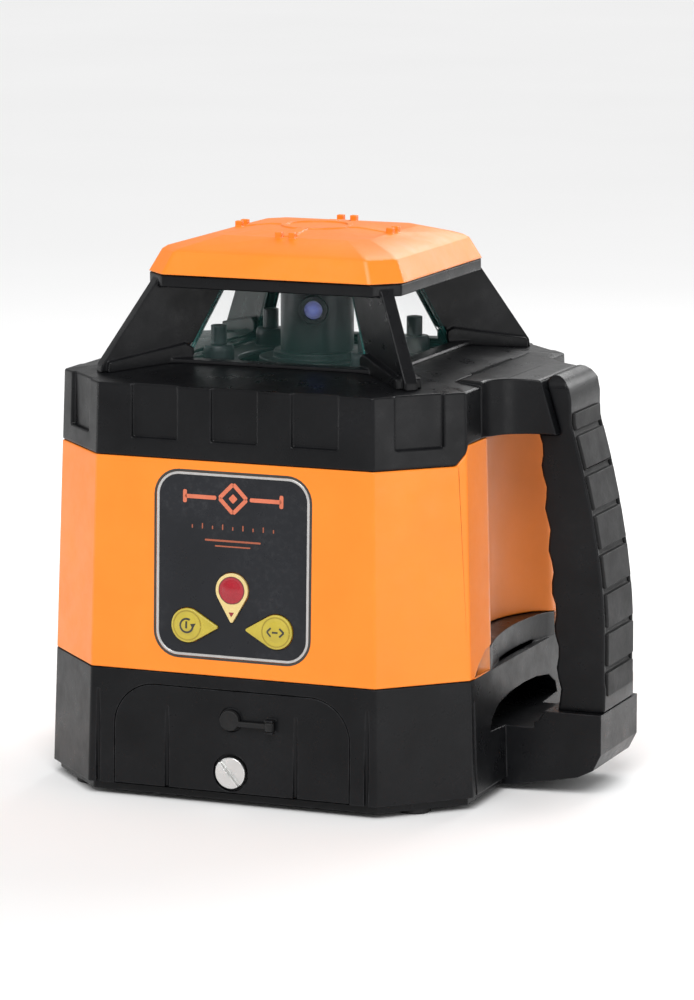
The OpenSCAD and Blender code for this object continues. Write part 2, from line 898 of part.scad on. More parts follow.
module cell_springs() color(metal) {
    for (s = [-1, 1])
        translate([s * cell_x, 0, 0]) {
            box([-7, 7], [-74, -73.6], [13, 28]);
            rod_y(-73.7, -70.05, 0, cell_z, 4.5);
            rod_y(31.05, 34.8, 0, cell_z, 4);
            box([-7, 7], [34.7, 35.2], [13, 24]);
        }
}

module charge_socket() color([0.12, 0.12, 0.13]) {
    difference() {
        rod_y(-83.2, -76, 0, socket_z, 4.5);
        rod_y(-84, -78, 0, socket_z, 2.7);
    }
    rod_y(-78.2, -77.9, 0, socket_z, 3);
}

module socket_plug() color([0.06, 0.06, 0.06]) {
    rod_y(-85.6, -83.7, 0, socket_z, 3.7);
    rod_y(-83.75, -81.6, 0, socket_z, 2.1);
    // flat tether that ends in an eye on the door's pin
    box([2, tether_x - 1.2], [-85.5, -84.2], [socket_z - 1.9, socket_z - 0.1]);
    translate([tether_x, -85.5, 0]) tube(30, 33.2, 1.7, 0.95);
}

module lock_screw() color([0.82, 0.82, 0.83]) {
    difference() {
        union() {
            rod_y(-84.8, -81.7, 0, lock_z, 5.8);
            rod_y(-81.8, -61, 0, lock_z, 2.95);
        }
        translate([0, -84.8, lock_z]) rotate([0, 50, 0]) box([-7, 7], [-1, 1.5], [-0.8, 0.8]);
    }
}

// ---------- gimbal and laser ----------

module gimbal_ring() color([0.5, 0.52, 0.55]) {
    difference() {
        union() {
            tube(pivot_z - 4, pivot_z + 4, ring_r, 35);
            rod_y(ring_r - 1, arm_x_reach, 0, pivot_z, 1.8);
            translate([0, arm_x_reach, pivot_z]) sphere(r = 3);
        }
        rod_x(-60, 60, 0, pivot_z, pin_r + run);
        rod_y(-39, 39, 0, pivot_z, pin_r);
    }
}

module inner_pivots() color(metal) {
    for (s = [-1, 1])
        translate([0, s * 33, 0]) rod_y(-5.5, 5.5, 0, pivot_z, pin_r);
}

module laser_barrel() color([0.42, 0.44, 0.47]) {
    difference() {
        union() {
            rod(66, pivot_z - 3.9, 18);
            rod(pivot_z - 4, pivot_z + 4, 31);
            at_corners(19.5) rod(pivot_z + 3.9, 131, 3);
            box([-31, -24], [-4, 4], [pivot_z + 3.9, pivot_z + 12]);
            box([-58, -24], [-4, 4], [pivot_z + 9.2, pivot_z + 12]);
            translate([-arm_y_reach, 0, 0]) rod(pivot_z, pivot_z + 9.3, 1.8);
            translate([-arm_y_reach, 0, pivot_z]) sphere(r = 3);
        }
        rod(84, 98, 15);
        rod(97, 103, 12);
        rod(60, 84.1, 9);
        rod(102, 120, 6);
        for (s = [-1, 1])
            translate([0, s * 30, 0]) rod_y(-4, 4, 0, pivot_z, pin_r + run);
    }
}

module laser_diode() color([0.78, 0.62, 0.3]) {
    rod(67, 84, 9);
    rod(84, 88, 5);
}

module collimator_lens() color([0.7, 0.85, 0.95, 0.5]) {
    rod(98, 102, 12);
}

module level_vials() color([0.75, 0.9, 0.4]) {
    rod_x(-13, 13, -24.5, pivot_z + 7.6, 3.5);
    rod_y(-12, 12, 24.5, pivot_z + 7.6, 3.5);
}

module bearing_housing() color([0.5, 0.52, 0.55]) {
    difference() {
        union() {
            box([-26, 48], [-24, 24], [131, 134]);
            rod(134, 152, 14);
        }
        rod(130, 160, 7);
        rod(134.9, 140, 10.5);
        rod(139.9, 146.1, 9);
        rod(146, 151, 10.5);
        rod(150.9, 153, 8);
        translate([motor_x, 0, 0]) rod(130, 140, 2.5);
    }
}

module rotor_bearings() color(metal) {
    tube(135, 140, 10.5, 6 + run);
    tube(146, 151, 10.5, 6 + run);
}

module drive_motor() color([0.6, 0.6, 0.62]) {
    translate([motor_x, 0, 0])
        difference() {
            rod(134, 144, 12);
            rod(133, 143, 1.5 + run);
        }
}

// Outline of the belt's run at a given distance outside both drums
module belt_outline(grow) {
    r1 = rotor_pulley_r + grow;
    r2 = motor_pulley_r + grow;
    lean = asin((r1 - r2) / motor_x);
    circle(r = r1);
    translate([motor_x, 0]) circle(r = r2);
    polygon([
        [r1 * sin(lean), r1 * cos(lean)], [motor_x + r2 * sin(lean), r2 * cos(lean)],
        [motor_x + r2 * sin(lean), -r2 * cos(lean)], [r1 * sin(lean), -r1 * cos(lean)]
    ]);
}

module drive_belt() color([0.05, 0.05, 0.05]) {
    translate([0, 0, belt_z - 1.4]) linear_extrude(2.8)
        difference() {
            belt_outline(0.42);
            belt_outline(-0.42);
        }
}

// Flanged pulley whose belt runs at radius r
module pulley(r) {
    rod(belt_z - 2.5, belt_z + 2.5, r - 0.5);
    rod(belt_z - 2.5, belt_z - 1.6, r + 0.8);
    rod(belt_z + 1.6, belt_z + 2.5, r + 0.8);
}

module motor_pulley() color(metal) {
    translate([motor_x, 0, 0]) {
        pulley(motor_pulley_r);
        rod(belt_z + 2.4, 142, 1.5);
    }
}

module rotor_pulley() color([0.2, 0.2, 0.22]) {
    difference() {
        pulley(rotor_pulley_r);
        rod(100, 150, 6);
    }
}

module rotor_spindle() color(metal) {
    tube(121.5, 155.5, 6, 3.2);
}

module rotor_flange() color(dark) {
    difference() {
        union() {
            rod(153.5, 155.5, 22);
            rod(155.4, 158, 16.5);
        }
        rod(150, 155.5, 6);
        rod(155, 160, 3.2);
    }
}

module rotor_housing() color(dark) {
    difference() {
        rod(158, 185, rotor_r);
        rod(157, 182.5, 10.6);
        rotate([0, 0, rotor_turn]) rod_y(-20, 0, 0, beam_z, 5.4);
    }
}

module prism() color([0.8, 0.9, 0.95, 0.6]) {
    rotate([0, 0, rotor_turn]) box([-6.5, 6.5], [-6.5, 6.5], [beam_z - 7, beam_z + 6.5]);
    rod(158, beam_z - 6.9, 3);
}

module lens_ring() color([0.05, 0.05, 0.06]) {
    rotate([0, 0, rotor_turn]) difference() {
        rod_y(-14.8, -9.5, 0, beam_z, 5.4);
        rod_y(-16, -9, 0, beam_z, 3.5);
    }
}

module beam_lens() color([0.25, 0.3, 0.8]) {
    rotate([0, 0, rotor_turn]) rod_y(-13.6, -11.6, 0, beam_z, 3.5);
}

base_cover();
handle_foot();
rubber_feet();
tripod_insert();
side_insert();
main_housing();
case_gaskets();
case_screws();
top_cover();
turret_floor();
turret_screws();
lantern_frame();
window_panes();
cap();
handle_core();
grip_pad();
handle_screws();
panel_plate();
panel_rim();
power_key();
left_key();
right_key();
keypad_board();
main_board();
ribbon_cable();
chassis_posts();
chassis_plate();
chassis_screws();
outer_pivots();
levelling_motors();
plunger_x();
plunger_y();
lock_receiver();
battery_terminals();
battery_door();
door_seal();
battery_tray();
battery_cells();
cell_springs();
charge_socket();
socket_plug();
lock_screw();
gimbal_ring();
inner_pivots();
laser_barrel();
laser_diode();
collimator_lens();
level_vials();
bearing_housing();
rotor_bearings();
drive_motor();
drive_belt();
motor_pulley();
rotor_pulley();
rotor_spindle();
rotor_flange();
rotor_housing();
prism();
lens_ring();
beam_lens();
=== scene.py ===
import json
import math

import bpy
import bmesh
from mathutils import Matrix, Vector


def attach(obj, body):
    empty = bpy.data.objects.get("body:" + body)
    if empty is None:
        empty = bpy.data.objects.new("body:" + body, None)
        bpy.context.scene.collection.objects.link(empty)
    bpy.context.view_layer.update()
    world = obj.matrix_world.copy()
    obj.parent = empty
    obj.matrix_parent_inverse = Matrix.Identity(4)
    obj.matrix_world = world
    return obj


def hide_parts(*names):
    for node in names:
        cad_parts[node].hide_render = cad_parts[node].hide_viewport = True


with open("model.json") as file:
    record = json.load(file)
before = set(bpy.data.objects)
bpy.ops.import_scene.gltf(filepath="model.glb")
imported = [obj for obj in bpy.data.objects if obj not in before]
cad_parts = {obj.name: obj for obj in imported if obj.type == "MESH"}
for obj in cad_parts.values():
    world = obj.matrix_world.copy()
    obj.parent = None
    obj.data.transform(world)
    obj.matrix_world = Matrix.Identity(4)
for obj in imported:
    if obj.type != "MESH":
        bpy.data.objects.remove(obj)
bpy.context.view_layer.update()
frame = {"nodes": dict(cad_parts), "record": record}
NODES = frame["nodes"]
MM = 0.001

# ---------------------------------------------------------------- materials


def new_material(name):
    m = bpy.data.materials.new(name)
    m.use_nodes = True
    nt = m.node_tree
    nt.nodes.clear()
    out = nt.nodes.new("ShaderNodeOutputMaterial")
    bsdf = nt.nodes.new("ShaderNodeBsdfPrincipled")
    nt.links.new(bsdf.outputs[0], out.inputs[0])
    return m, nt, bsdf


def noise(nt, coords, scale, detail=3.0, rough=0.5, distort=0.0):
    n = nt.nodes.new("ShaderNodeTexNoise")
    n.inputs["Scale"].default_value = scale
    n.inputs["Detail"].default_value = detail
    n.inputs["Roughness"].default_value = rough
    n.inputs["Distortion"].default_value = distort
    nt.links.new(coords, n.inputs["Vector"])
    return n.outputs[0]


def ramp(nt, fac, stops):
    """Colours at places from 0 to 1."""
    r = nt.nodes.new("ShaderNodeValToRGB")
    el = r.color_ramp.elements
    while len(el) < len(stops):
        el.new(0.5)
    for e, (p, c) in zip(el, stops):
        e.position = p
        e.color = c if len(c) == 4 else (*c, 1)
    nt.links.new(fac, r.inputs[0])
    return r.outputs[0]


def span(nt, value, a, b, lo, hi):
    """Carries a value's range a..b over to lo..hi."""
    m = nt.nodes.new("ShaderNodeMapRange")
    m.inputs[1].default_value = a
    m.inputs[2].default_value = b
    m.inputs[3].default_value = lo
    m.inputs[4].default_value = hi
    nt.links.new(value, m.inputs[0])
    return m.outputs[0]


def mix_rgb(nt, fac, a, b):
    m = nt.nodes.new("ShaderNodeMix")
    m.data_type = "RGBA"
    for sock, v in ((m.inputs[0], fac), (m.inputs[6], a), (m.inputs[7], b)):
        if isinstance(v, (tuple, list)):
            sock.default_value = (*v, 1) if len(v) == 3 else v
        elif isinstance(v, (int, float)):
            sock.default_value = v
        else:
            nt.links.new(v, sock)
    return m.outputs[2]


def math_node(nt, op, a, b=None, clamp=False):
    m = nt.nodes.new("ShaderNodeMath")
    m.operation = op
    m.use_clamp = clamp
    for i, v in enumerate((a, b)):
        if v is None:
            continue
        if isinstance(v, (int, float)):
            m.inputs[i].default_value = v
        else:
            nt.links.new(v, m.inputs[i])
    return m.outputs[0]


def edge_mask(nt, radius):
    """1 along convex and concave edges, 0 on flats, from the rounded normal."""
    bev = nt.nodes.new("ShaderNodeBevel")
    bev.name = "rounded"
    bev.samples = 6
    bev.inputs["Radius"].default_value = radius
    geo = nt.nodes.new("ShaderNodeNewGeometry")
    dot = nt.nodes.new("ShaderNodeVectorMath")
    dot.operation = "DOT_PRODUCT"
    nt.links.new(bev.outputs[0], dot.inputs[0])
    nt.links.new(geo.outputs["Normal"], dot.inputs[1])
    return span(nt, dot.outputs["Value"], 0.995, 0.93, 0.0, 1.0)


def surface(name, base, rough, vary=0.12, grain=1400.0, grain_depth=0.00003, metal=0.0,
            wear=None, wear_amount=0.35, coat=0.0, spec=0.5, dust=0.06, streak=None, cloud=35.0):
    """A moulded, cast or machined surface: drifting colour, uneven gloss, fine grain and worn edges."""
    m, nt, bsdf = new_material(name)
    tc = nt.nodes.new("ShaderNodeTexCoord")
    co = tc.outputs["Object"]
    if streak:
        mp = nt.nodes.new("ShaderNodeMapping")
        mp.inputs["Scale"].default_value = streak
        nt.links.new(co, mp.inputs[0])
        co_grain = mp.outputs[0]
    else:
        co_grain = co
    big = noise(nt, co, cloud, 4, 0.55, 0.3)
    fine = noise(nt, co, cloud * 14, 3, 0.6)
    lo = tuple(c * (1 - vary) for c in base)
    hi = tuple(min(1, c * (1 + vary) + 0.002) for c in base)
    col = mix_rgb(nt, span(nt, big, 0.3, 0.7, 0, 1), lo, hi)
    # a little dust and handling haze, strongest in patches
    specks = span(nt, fine, 0.48, 0.72, 0, 1)
    haze = math_node(nt, "MULTIPLY", specks, span(nt, big, 0.42, 0.7, 0, dust), True)
    pale = tuple(min(1, c * 0.6 + 0.3) for c in base)
    col = mix_rgb(nt, haze, col, pale)
    if wear:
        mask = edge_mask(nt, 0.7 * MM)
        patches = span(nt, noise(nt, co, 180, 4, 0.7), 0.38, 0.68, 0, wear_amount)
        patchy = math_node(nt, "MULTIPLY", mask, patches, True)
        col = mix_rgb(nt, patchy, col, wear)
    nt.links.new(col, bsdf.inputs["Base Color"])
    r = span(nt, noise(nt, co, cloud * 3, 4, 0.65), 0.3, 0.7, rough - 0.07, rough + 0.08)
    nt.links.new(r, bsdf.inputs["Roughness"])
    g1 = noise(nt, co_grain, grain, 2, 0.6)
    g2 = noise(nt, co_grain, grain * 0.31, 2, 0.5)
    h = math_node(nt, "ADD", g1, math_node(nt, "MULTIPLY", g2, 0.7))
    bump = nt.nodes.new("ShaderNodeBump")
    bump.inputs["Strength"].default_value = 1.0
    bump.inputs["Distance"].default_value = grain_depth
    nt.links.new(h, bump.inputs["Height"])
    if "rounded" in nt.nodes:
        nt.links.new(nt.nodes["rounded"].outputs[0], bump.inputs["Normal"])
    nt.links.new(bump.outputs[0], bsdf.inputs["Normal"])
    bsdf.inputs["Metallic"].default_value = metal
    bsdf.inputs["Specular IOR Level"].default_value = spec
    bsdf.inputs["Coat Weight"].default_value = coat
    bsdf.inputs["Coat Roughness"].default_value = 0.12
    bsdf.inputs["IOR"].default_value = 1.5
    return m


BLACK = surface("black_shell", (0.0042, 0.0044, 0.0052), 0.31, vary=0.25, grain=1700, grain_depth=0.00003,
                wear=(0.06, 0.06, 0.065), wear_amount=0.45, spec=0.175, dust=0.008)
ORANGE = surface("orange_shell", (0.93, 0.235, 0.018), 0.36, vary=0.04, grain=1500, grain_depth=0.000025,
                 wear=(1.0, 0.42, 0.13), wear_amount=0.4, spec=0.34, dust=0.025)
RUBBER = surface("soft_rubber", (0.009, 0.009, 0.0095), 0.56, vary=0.2, grain=1100, grain_depth=0.00006,
                 wear=(0.04, 0.04, 0.04), wear_amount=0.4, spec=0.24, dust=0.03)
BRASS = surface("brass", (0.72, 0.5, 0.2), 0.3, vary=0.12, grain=900, grain_depth=0.00002, metal=1.0,
                streak=(1, 1, 5), wear=(0.9, 0.72, 0.4), dust=0.1)
STEEL = surface("steel", (0.62, 0.62, 0.63), 0.27, vary=0.08, grain=1500, grain_depth=0.000018, metal=1.0,
                wear=(0.85, 0.85, 0.85), dust=0.1)
COIN = surface("coin_screw", (0.7, 0.7, 0.69), 0.3, vary=0.12, grain=1200, grain_depth=0.00003, metal=1.0,
               wear=(0.92, 0.92, 0.9), wear_amount=0.8, dust=0.25, cloud=90)
ALLOY = surface("cast_alloy", (0.5, 0.51, 0.53), 0.46, vary=0.1, grain=1300, grain_depth=0.00006, metal=1.0,
                wear=(0.8, 0.8, 0.8), dust=0.05)
CAN = surface("motor_can", (0.33, 0.34, 0.36), 0.32, vary=0.08, grain=1200, grain_depth=0.00002, metal=1.0,
              streak=(1, 1, 0.1), wear=(0.7, 0.7, 0.7))
ROTOR = surface("rotor_black", (0.03, 0.032, 0.036), 0.4, vary=0.15, grain=1500, grain_depth=0.00002,
                metal=0.35, streak=(1, 1, 4), wear=(0.25, 0.26, 0.28), wear_amount=0.7)
FILM = surface("panel_film", (0.008, 0.009, 0.012), 0.3, vary=0.2, grain=2400, grain_depth=0.00001,
               spec=0.3, dust=0.05)
SILVER = surface("panel_silver", (0.5, 0.49, 0.48), 0.36, vary=0.05, grain=1800, grain_depth=0.00001,
                 metal=0.55, wear=(0.9, 0.9, 0.9))
RED = surface("key_red", (0.27, 0.003, 0.012), 0.26, vary=0.12, grain=1600, grain_depth=0.00002, coat=0.4,
              wear=(0.85, 0.2, 0.2), wear_amount=0.3, cloud=160)
YELLOW = surface("key_yellow", (0.47, 0.37, 0.035), 0.36, vary=0.08, grain=1600, grain_depth=0.00003,
                 coat=0.1, wear=(0.9, 0.82, 0.4), wear_amount=0.3, cloud=160)


def ink(name, colour, rough, vary):
    """Printed ink: fine-grained and nearly flat."""
    return surface(name, colour, rough, vary=vary, grain=2000, grain_depth=0.00001, cloud=200)


SALMON = ink("print_salmon", (0.6, 0.15, 0.075), 0.42, 0.08)
SALMON_DIM = ink("print_salmon_dim", (0.34, 0.085, 0.04), 0.42, 0.1)
OLIVE = ink("print_olive", (0.3, 0.22, 0.02), 0.45, 0.12)
INK = ink("print_ink", (0.03, 0.03, 0.025), 0.45, 0.2)
BOARD = surface("board", (0.012, 0.13, 0.05), 0.34, vary=0.15, grain=800, grain_depth=0.00003, coat=0.2)
RIBBON = surface("ribbon", (0.62, 0.62, 0.6), 0.42, vary=0.06, grain=600, grain_depth=0.00005,
                 streak=(1, 1, 0.02))
CELL = surface("cell_wrap", (0.02, 0.07, 0.3), 0.25, vary=0.12, grain=700, grain_depth=0.00002, coat=0.4,
               wear=(0.3, 0.4, 0.6))
GOLD = surface("contact", (0.75, 0.6, 0.32), 0.3, vary=0.1, grain=1200, grain_depth=0.00002, metal=1.0)


def glass(name, tint, rough, alpha):
    """Clear optical glass, faintly smeared."""
    m, nt, bsdf = new_material(name)
    tc = nt.nodes.new("ShaderNodeTexCoord")
    co = tc.outputs["Object"]
    smear = noise(nt, co, 24, 4, 0.6, 0.8)
    col = mix_rgb(nt, span(nt, smear, 0.3, 0.7, 0, 1), tuple(c * 0.92 for c in tint), tint)
    nt.links.new(col, bsdf.inputs["Base Color"])
    nt.links.new(span(nt, smear, 0.35, 0.75, rough, rough + 0.05), bsdf.inputs["Roughness"])
    bump = nt.nodes.new("ShaderNodeBump")
    bump.inputs["Distance"].default_value = 0.00004
    nt.links.new(noise(nt, co, 60, 2, 0.5), bump.inputs["Height"])
    nt.links.new(bump.outputs[0], bsdf.inputs["Normal"])
    bsdf.inputs["IOR"].default_value = 1.45
    bsdf.inputs["Transmission Weight"].default_value = 0.85
    bsdf.inputs["Alpha"].default_value = alpha
    return m


def pane():
    """Clear moulded window: barely tinted over its face, teal and solid at its edges."""
    m, nt, bsdf = new_material("pane_glass")
    tc = nt.nodes.new("ShaderNodeTexCoord")
    co = tc.outputs["Object"]
    smear = noise(nt, co, 30, 4, 0.6, 0.8)
    edge = edge_mask(nt, 1.1 * MM)
    col = mix_rgb(nt, edge, mix_rgb(nt, smear, (0.1, 0.3, 0.27), (0.16, 0.38, 0.34)), (0.01, 0.12, 0.11))
    nt.links.new(col, bsdf.inputs["Base Color"])
    nt.links.new(span(nt, smear, 0.35, 0.75, 0.03, 0.09), bsdf.inputs["Roughness"])
    clear = span(nt, smear, 0.3, 0.7, 0.02, 0.05)
    solid = math_node(nt, "MULTIPLY", edge, 0.7)
    nt.links.new(math_node(nt, "ADD", clear, solid, True), bsdf.inputs["Alpha"])
    bump = nt.nodes.new("ShaderNodeBump")
    bump.inputs["Distance"].default_value = 0.00003
    nt.links.new(noise(nt, co, 60, 2, 0.5), bump.inputs["Height"])
    nt.links.new(bump.outputs[0], bsdf.inputs["Normal"])
    bsdf.inputs["IOR"].default_value = 1.49
    return m


PANE = pane()
OPTIC = glass("optic_glass", (0.85, 0.93, 0.98), 0.01, 0.5)
VIAL = glass("vial", (0.6, 0.85, 0.2), 0.03, 0.7)


def middle(name):
    """Middle of a CAD node's own box, in its object coordinates, in metres."""
    c = [Vector(v) for v in NODES[name].bound_box]
    return sum(c, Vector()) / 8


def away_from(nt, co, centre):
    """Distance of each point from a centre."""
    d = nt.nodes.new("ShaderNodeVectorMath")
    d.operation = "DISTANCE"
    nt.links.new(co, d.inputs[0])
    d.inputs[1].default_value = centre
    return d.outputs["Value"]


BUTTON_R = 4.7  # the red button on the power key
BUTTON_RING = 5.05  # the dark ring round it ends here
BUTTON_DROP = 6.3  # from the key's top to the button's middle


def power_key():
    """Cream teardrop with a glossy red button in the round of it."""
    m, nt, bsdf = new_material("key_power")
    tc = nt.nodes.new("ShaderNodeTexCoord")
    co = tc.outputs["Object"]
    box = [Vector(v) for v in NODES["power_key"].bound_box]
    c = middle("power_key")
    c.z = max(v.z for v in box) - BUTTON_DROP * MM
    sep = nt.nodes.new("ShaderNodeSeparateXYZ")
    nt.links.new(co, sep.inputs[0])
    dx = math_node(nt, "SUBTRACT", sep.outputs[0], c.x)
    dz = math_node(nt, "SUBTRACT", sep.outputs[2], c.z)
    dx2 = math_node(nt, "MULTIPLY", dx, dx)
    dz2 = math_node(nt, "MULTIPLY", dz, dz)
    r = math_node(nt, "SQRT", math_node(nt, "ADD", dx2, dz2))
    cloud = noise(nt, co, 300, 4, 0.6)
    wob = math_node(nt, "ADD", r, span(nt, cloud, 0.3, 0.7, -0.00008, 0.00008))
    red = mix_rgb(nt, cloud, (0.27, 0.002, 0.01), (0.4, 0.006, 0.02))
    cream = mix_rgb(nt, cloud, (0.62, 0.46, 0.16), (0.74, 0.58, 0.26))
    past_ring = span(nt, wob, BUTTON_RING * MM, (BUTTON_RING + 0.15) * MM, 0, 1)
    rim = mix_rgb(nt, past_ring, (0.09, 0.01, 0.012), cream)
    past_button = span(nt, wob, BUTTON_R * MM, (BUTTON_R + 0.1) * MM, 0, 1)
    col = mix_rgb(nt, past_button, red, rim)
    col = mix_rgb(nt, math_node(nt, "MULTIPLY", edge_mask(nt, 0.4 * MM), 0.3), col, (0.95, 0.8, 0.6))
    nt.links.new(col, bsdf.inputs["Base Color"])
    nt.links.new(span(nt, noise(nt, co, 700, 3), 0.3, 0.7, 0.2, 0.34), bsdf.inputs["Roughness"])
    bump = nt.nodes.new("ShaderNodeBump")
    bump.inputs["Distance"].default_value = 0.00001
    nt.links.new(noise(nt, co, 1800, 2), bump.inputs["Height"])
    nt.links.new(bump.outputs[0], bsdf.inputs["Normal"])
    bsdf.inputs["Coat Weight"].default_value = 0.4
    return m


LENS_R = 3.6


def blue_lens():
    """A deep blue coated lens with a painted highlight paling it towards its middle, and a faint painted
    blue glow.
    """
    m, nt, bsdf = new_material("blue_lens")
    co = nt.nodes.new("ShaderNodeTexCoord").outputs["Object"]
    r = away_from(nt, co, middle("beam_lens"))
    wob = math_node(nt, "ADD", r, span(nt, noise(nt, co, 500, 3), 0.3, 0.7, -0.0003, 0.0003))
    # painted highlight: pale blue in the middle, darkening to near black at the rim
    col = ramp(nt, span(nt, wob, 0.0, LENS_R * MM, 0, 1), [
        (0.0, (0.36, 0.45, 0.95)), (0.4, (0.12, 0.18, 0.78)),
        (0.8, (0.02, 0.03, 0.3)), (1.0, (0.005, 0.007, 0.07))])
    nt.links.new(col, bsdf.inputs["Base Color"])
    nt.links.new(span(nt, noise(nt, co, 900, 2), 0.3, 0.7, 0.05, 0.12), bsdf.inputs["Roughness"])
    bsdf.inputs["Coat Weight"].default_value = 1.0
    bsdf.inputs["Coat Roughness"].default_value = 0.03
    # painted glow: the lens gives off faint blue light although it is no lamp
    bsdf.inputs["Emission Color"].default_value = (0.1, 0.16, 0.8, 1)
    bsdf.inputs["Emission Strength"].default_value = 0.1
    return m


BLUE = blue_lens()
POWER = power_key()

SLOTS = {
    "black_plastic": BLACK, "orange_plastic": ORANGE, "soft_rubber": RUBBER, "brass": BRASS,
    "steel": STEEL, "pane_glass": PANE, "optic_glass": OPTIC, "blue_lens": BLUE, "panel_film": FILM,
    "panel_silver": SILVER, "key_red": RED, "key_yellow": YELLOW, "board": BOARD, "ribbon": RIBBON,
    "cast_alloy": ALLOY, "motor_can": CAN, "rotor_black": ROTOR, "cell_wrap": CELL, "vial": VIAL,
}
# nodes whose look differs from the rest of their slot
OWN_LOOK = {"power_key": POWER, "lock_screw": COIN, "battery_terminals": GOLD}
for part in frame["record"]["subparts"]:
    slots = NODES[part["node"]].data.materials
    slots.clear()
    slots.append(OWN_LOOK.get(part["node"], SLOTS[part["material_slot"]]))

# ---------------------------------------------------------------- rounded edges on the CAD bodies


def one_moulding(name, nodes, on_cut):
    """Joins CAD nodes that are one moulded piece, without the faces where they were cut apart."""
    bm = bmesh.new()
    for n in nodes:
        part = bmesh.new()
        part.from_mesh(NODES[n].data)
        part.transform(NODES[n].matrix_world)
        tmp = bpy.data.meshes.new("tmp")
        part.to_mesh(tmp)
        part.free()
        bm.from_mesh(tmp)
        bpy.data.meshes.remove(tmp)
    bm.normal_update()
    bmesh.ops.delete(bm, geom=[f for f in bm.faces if on_cut(f)], context="FACES")
    bmesh.ops.remove_doubles(bm, verts=bm.verts, dist=0.00002)
    mesh = bpy.data.meshes.new(name)
    bm.to_mesh(mesh)
    bm.free()
    ob = bpy.data.objects.new(name, mesh)
    bpy.context.scene.collection.objects.link(ob)
    NODES[name] = ob
    return ob


# The handle's foot was cut from the tub along these planes, in mm
FOOT_IN, FOOT_STEP = 54, 64
FOOT_SIDE = 42
FOOT_LEDGE = 44
FOOT_TOP = 80
NEAR = 0.02


def at_foot_cut(f):
    """Whether a face lies on one of the planes where the foot was cut from the tub."""
    c = [v.co / MM for v in f.verts]

    def flat(i, at):
        return all(abs(p[i] - at) < NEAR for p in c)
    if not all(abs(p.y) < FOOT_SIDE + NEAR and p.x > FOOT_IN - NEAR and p.z < FOOT_TOP for p in c):
        return False
    on_wall = flat(0, FOOT_STEP) or flat(0, FOOT_IN) or flat(1, FOOT_SIDE) or flat(1, -FOOT_SIDE)
    return on_wall or (flat(2, FOOT_LEDGE) and all(p.x < FOOT_STEP + NEAR for p in c))


bpy.context.view_layer.update()
moulding = one_moulding("base_moulding", ("base_cover", "handle_foot"), at_foot_cut)
moulding.data.materials.clear()
moulding.data.materials.append(BLACK)
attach(moulding, "case")
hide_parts("base_cover", "handle_foot")

# Shells whose shortest edges would otherwise hold every rounded edge down to nothing
SHELLS = ("top_cover", "main_housing", "lantern_frame", "handle_core", "grip_pad")
HOLLOW = SHELLS + ("base_moulding",)
SHARP = math.radians(24)
FLAT = math.radians(1.5)


def weld_distance(name):
    """How near two points of a node's mesh are joined, in mm."""
    if name == "cap":
        return 0.12
    return 0.05 if name in HOLLOW else 0.004


def round_edges(name, width):
    """Rounds a CAD node's sharp edges with modifiers; the shape of its own mesh is left as it is."""
    ob = NODES[name]
    for p in ob.data.polygons:
        p.use_smooth = True
    w = ob.modifiers.new("weld", "WELD")
    w.merge_threshold = weld_distance(name) * MM
    d = ob.modifiers.new("flat", "DECIMATE")
    d.decimate_type = "DISSOLVE"
    d.angle_limit = FLAT
    if name in HOLLOW:
        # a rounded edge on a face with a hole in it would leave stray faces across the hole
        ob.modifiers.new("split", "TRIANGULATE")
    b = ob.modifiers.new("edge", "BEVEL")
    b.width = width * MM
    b.segments = 3
    b.limit_method = "ANGLE"
    b.angle_limit = SHARP
    b.use_clamp_overlap = name not in SHELLS
    b.miter_outer = "MITER_ARC"
    b.harden_normals = False
    n = ob.modifiers.new("normals", "WEIGHTED_NORMAL")
    n.mode = "FACE_AREA_WITH_ANGLE"
    n.weight = 60
    n.keep_sharp = False


# radius of each piece's rounded edges, in mm
EDGES = {
    "base_moulding": 0.55, "main_housing": 0.5, "top_cover": 0.65, "lantern_frame": 0.6, "cap": 0.9,
    "handle_core": 0.9,
    "grip_pad": 0.6, "battery_door": 0.45, "panel_plate": 0.2, "panel_rim": 0.25, "rubber_feet": 0.5,
    "turret_floor": 0.4, "turret_screws": 0.3, "power_key": 0.3, "left_key": 0.3, "right_key": 0.3,
    "socket_plug": 0.35, "lock_screw": 0.35, "rotor_housing": 0.6, "rotor_flange": 0.4, "lens_ring": 0.3,
    "battery_tray": 0.2, "battery_cells": 0.6, "laser_barrel": 0.5, "bearing_housing": 0.5,
    "gimbal_ring": 0.5,
    "chassis_plate": 0.4, "drive_motor": 0.6, "levelling_motors": 0.5, "window_panes": 0.15,
    "tripod_insert": 0.3, "side_insert": 0.3, "prism": 0.2, "charge_socket": 0.2, "drive_belt": 0.2,
    "rotor_pulley": 0.2, "motor_pulley": 0.2, "plunger_x": 0.2, "plunger_y": 0.2, "main_board": 0.1,
    "keypad_board": 0.1, "case_screws": 0.2, "chassis_screws": 0.3, "chassis_posts": 0.3,
}
for name, width in EDGES.items():
    round_edges(name, width)

# ---------------------------------------------------------------- printed marks

HEAD = 0.6  # how far a key's flat top stands out of the panel, in mm
DOME_R = 10.6  # the key's dome is part of a sphere whose middle is DOME_DEPTH below its top
DOME_DEPTH = 9.2


def frame_line(w, h, r, t, n=8):
    """The outline of a rounded rectangle as one thin closed stroke."""
    slit = 0.02

    def loop(w, h, r):
        pts = []
        for k, (sx, sy) in enumerate(((1, 1), (-1, 1), (-1, -1), (1, -1))):
            for j in range(n + 1):
                a = math.radians(90 * k + 90 * j / n)
                pts.append((sx * (w / 2 - r) + r * math.cos(a), sy * (h / 2 - r) + r * math.sin(a)))
        return pts
    outer, inner = loop(w, h, r), loop(w - 2 * t, h - 2 * t, r - t)
    # a hair's gap on the right side keeps the stroke one simple outline
    out_x, in_x = outer[0][0], inner[0][0]
    there = [(out_x, slit)] + outer + [(out_x, -slit)]
    return there + [(in_x, -slit)] + list(reversed(inner)) + [(in_x, slit)]


